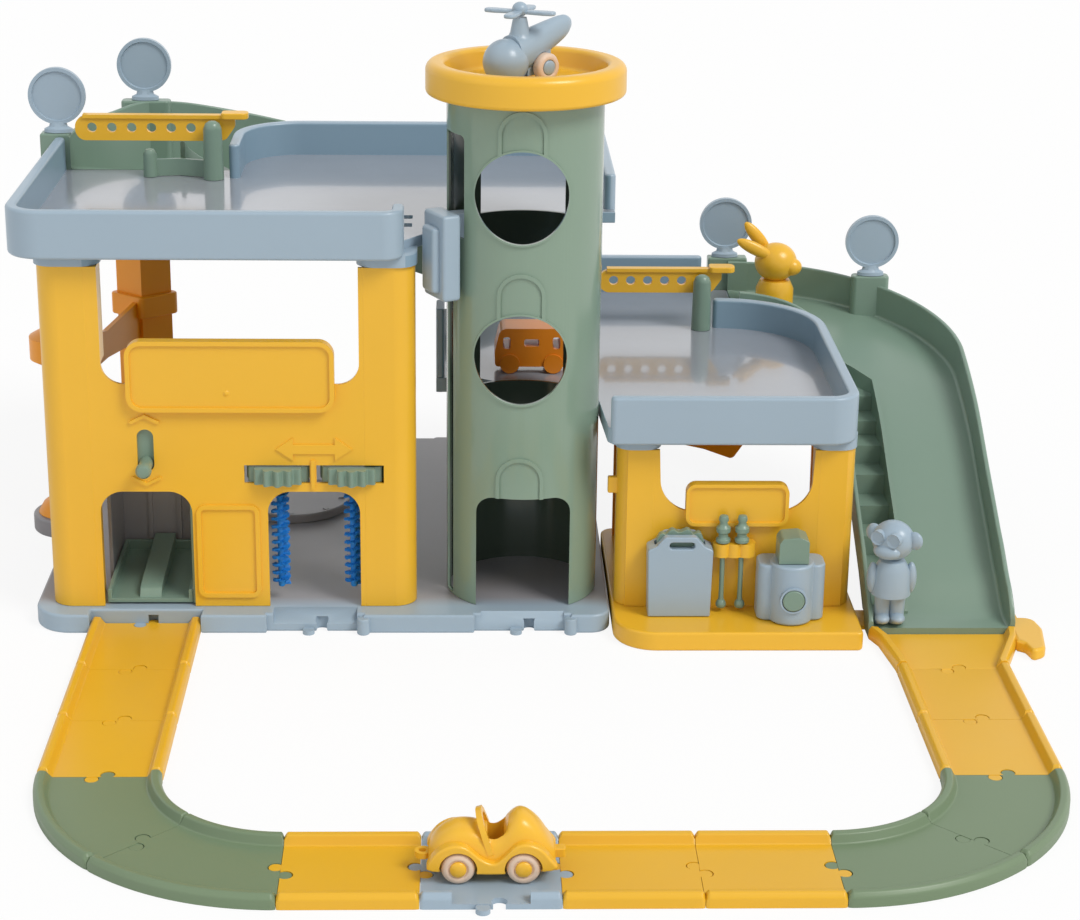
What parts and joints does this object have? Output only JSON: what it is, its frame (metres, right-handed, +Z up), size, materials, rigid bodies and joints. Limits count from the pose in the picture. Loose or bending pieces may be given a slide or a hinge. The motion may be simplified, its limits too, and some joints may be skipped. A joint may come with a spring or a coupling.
{
  "type": "toy parking garage",
  "caption": "Toy parking garage with a hand lift tower, wash bay, hoist, filling station, two curved ramps, barriers, a helipad and a loop of clip-together road.",
  "frame": {"origin": "on the floor under the lift tower's axis, on the underside of the garage floor plate", "axes": "+X to the right along the front, +Y to the back away from the road loop, +Z up"},
  "size_m": [0.743, 0.7936, 0.435],
  "materials": {
    "yellow": "satin moulded plastic",
    "tower_green": "satin moulded plastic",
    "ramp_green": "satin moulded plastic",
    "road_green": "satin moulded plastic",
    "blue_grey": "satin moulded plastic",
    "cream": "satin moulded plastic",
    "brush_blue": "bristles"
  },
  "bodies": {
    "garage": {"road_straight_1": "yellow", "road_straight_2": "yellow", "road_straight_3": "yellow", "road_left_1": "yellow", "road_left_2": "yellow", "road_left_3": "yellow", "road_right_1": "yellow", "road_right_2": "yellow", "front_wall": "yellow", "rear_left_frame": "yellow", "helipad": "yellow", "station_base": "yellow", "station_wall": "yellow", "station_rear_support": "yellow", "lane_support": "yellow", "ramp_funnel": "yellow", "road_curve_1": "road_green", "road_curve_2": "road_green", "road_curve_3": "road_green", "road_curve_4": "road_green", "road_crossing": "blue_grey", "garage_base": "blue_grey", "hoist_guide": "blue_grey", "upper_tray": "blue_grey", "lower_tray": "blue_grey", "sign_a": "blue_grey", "sign_b": "blue_grey", "sign_c": "blue_grey", "sign_d": "blue_grey", "pump_left": "blue_grey", "pump_right": "blue_grey", "upper_barrier_post": "ramp_green", "lower_barrier_post": "ramp_green", "upper_ramp": "ramp_green", "lower_ramp": "ramp_green", "pump_left_insert": "ramp_green", "pump_right_cap": "ramp_green", "pump_right_dial": "ramp_green", "tower_shell": "tower_green"},
    "turntable": {"turntable": "blue_grey"},
    "wash_left": {"wash_wheel_left": "ramp_green", "wash_brush_left": "brush_blue"},
    "wash_right": {"wash_wheel_right": "ramp_green", "wash_brush_right": "brush_blue"},
    "hoist": {"hoist_platform": "ramp_green", "hoist_lever": "ramp_green"},
    "upper_barrier": {"upper_barrier_arm": "yellow"},
    "lower_barrier": {"lower_barrier_arm": "yellow"},
    "lift": {"lift_car": "blue_grey"},
    "helicopter": {"helicopter_body": "blue_grey"},
    "rotor": {"helicopter_rotor": "blue_grey"},
    "heli_wheels": {"helicopter_wheels": "cream"},
    "car": {"car_body": "yellow"},
    "car_front_axle": {"car_wheels_front": "cream"},
    "car_rear_axle": {"car_wheels_rear": "cream"},
    "van": {"van": "yellow"},
    "blue_animal": {"figure_blue": "blue_grey"},
    "yellow_animal": {"figure_yellow": "yellow"},
    "left_nozzle": {"nozzle_left": "ramp_green"},
    "right_nozzle": {"nozzle_right": "ramp_green"}
  },
  "joints": [
    {"name": "turntable_spin", "type": "hinge", "parent": "garage", "child": "turntable", "pos_m": [-0.1747, 0.163, 0.0143], "axis": [0, 0, 1], "continuous": true},
    {"name": "wash_left_spin", "type": "hinge", "parent": "garage", "child": "wash_left", "pos_m": [-0.1709, -0.033, 0.107], "axis": [0, 0, 1], "continuous": true},
    {"name": "wash_right_spin", "type": "hinge", "parent": "garage", "child": "wash_right", "pos_m": [-0.1196, -0.033, 0.107], "axis": [0, 0, 1], "continuous": true},
    {"name": "hoist_lift", "type": "slide", "parent": "garage", "child": "hoist", "axis": [0, 0, 1], "range_m": [0, 0.019]},
    {"name": "upper_barrier_tip", "type": "hinge", "parent": "garage", "child": "upper_barrier", "pos_m": [-0.2287, 0.16095, 0.314], "axis": [0, 1, 0], "range_deg": [0, 45]},
    {"name": "lower_barrier_tip", "type": "hinge", "parent": "garage", "child": "lower_barrier", "pos_m": [0.144, 0.20095, 0.187], "axis": [0, 1, 0], "range_deg": [0, 45]},
    {"name": "lift_travel", "type": "slide", "parent": "garage", "child": "lift", "axis": [0, 0, 1], "range_m": [-0.219, 0.038]},
    {"name": "helicopter_lift_off", "type": "slide", "parent": "garage", "child": "helicopter", "axis": [0, 0, 1], "range_m": [0, 0.06]},
    {"name": "rotor_spin", "type": "hinge", "parent": "helicopter", "child": "rotor", "pos_m": [-0.00454, -0.00161, 0.43], "axis": [0, 0, 1], "continuous": true},
    {"name": "helicopter_wheel_spin", "type": "hinge", "parent": "helicopter", "child": "heli_wheels", "pos_m": [0.00649, 0.00701, 0.3912], "axis": [-0.6157, 0.788, 0], "continuous": true},
    {"name": "car_lift_off", "type": "slide", "parent": "garage", "child": "car", "axis": [0, 0, 1], "range_m": [0, 0.06]},
    {"name": "car_front_axle_spin", "type": "hinge", "parent": "car", "child": "car_front_axle", "pos_m": [-0.0447, -0.4098, 0.0134], "axis": [0, 1, 0], "continuous": true},
    {"name": "car_rear_axle_spin", "type": "hinge", "parent": "car", "child": "car_rear_axle", "pos_m": [-0.0077, -0.4098, 0.0134], "axis": [0, 1, 0], "continuous": true},
    {"name": "van_lift_off", "type": "slide", "parent": "garage", "child": "van", "axis": [0, 0, 1], "range_m": [0, 0.05]},
    {"name": "blue_animal_lift_off", "type": "slide", "parent": "garage", "child": "blue_animal", "axis": [0, 0, 1], "range_m": [0, 0.06]},
    {"name": "yellow_animal_lift_off", "type": "slide", "parent": "garage", "child": "yellow_animal", "axis": [0, 0, 1], "range_m": [0, 0.06]},
    {"name": "left_nozzle_lift_off", "type": "slide", "parent": "garage", "child": "left_nozzle", "axis": [0, 0, 1], "range_m": [0, 0.03]},
    {"name": "right_nozzle_lift_off", "type": "slide", "parent": "garage", "child": "right_nozzle", "axis": [0, 0, 1], "range_m": [0, 0.03]}
  ]
}
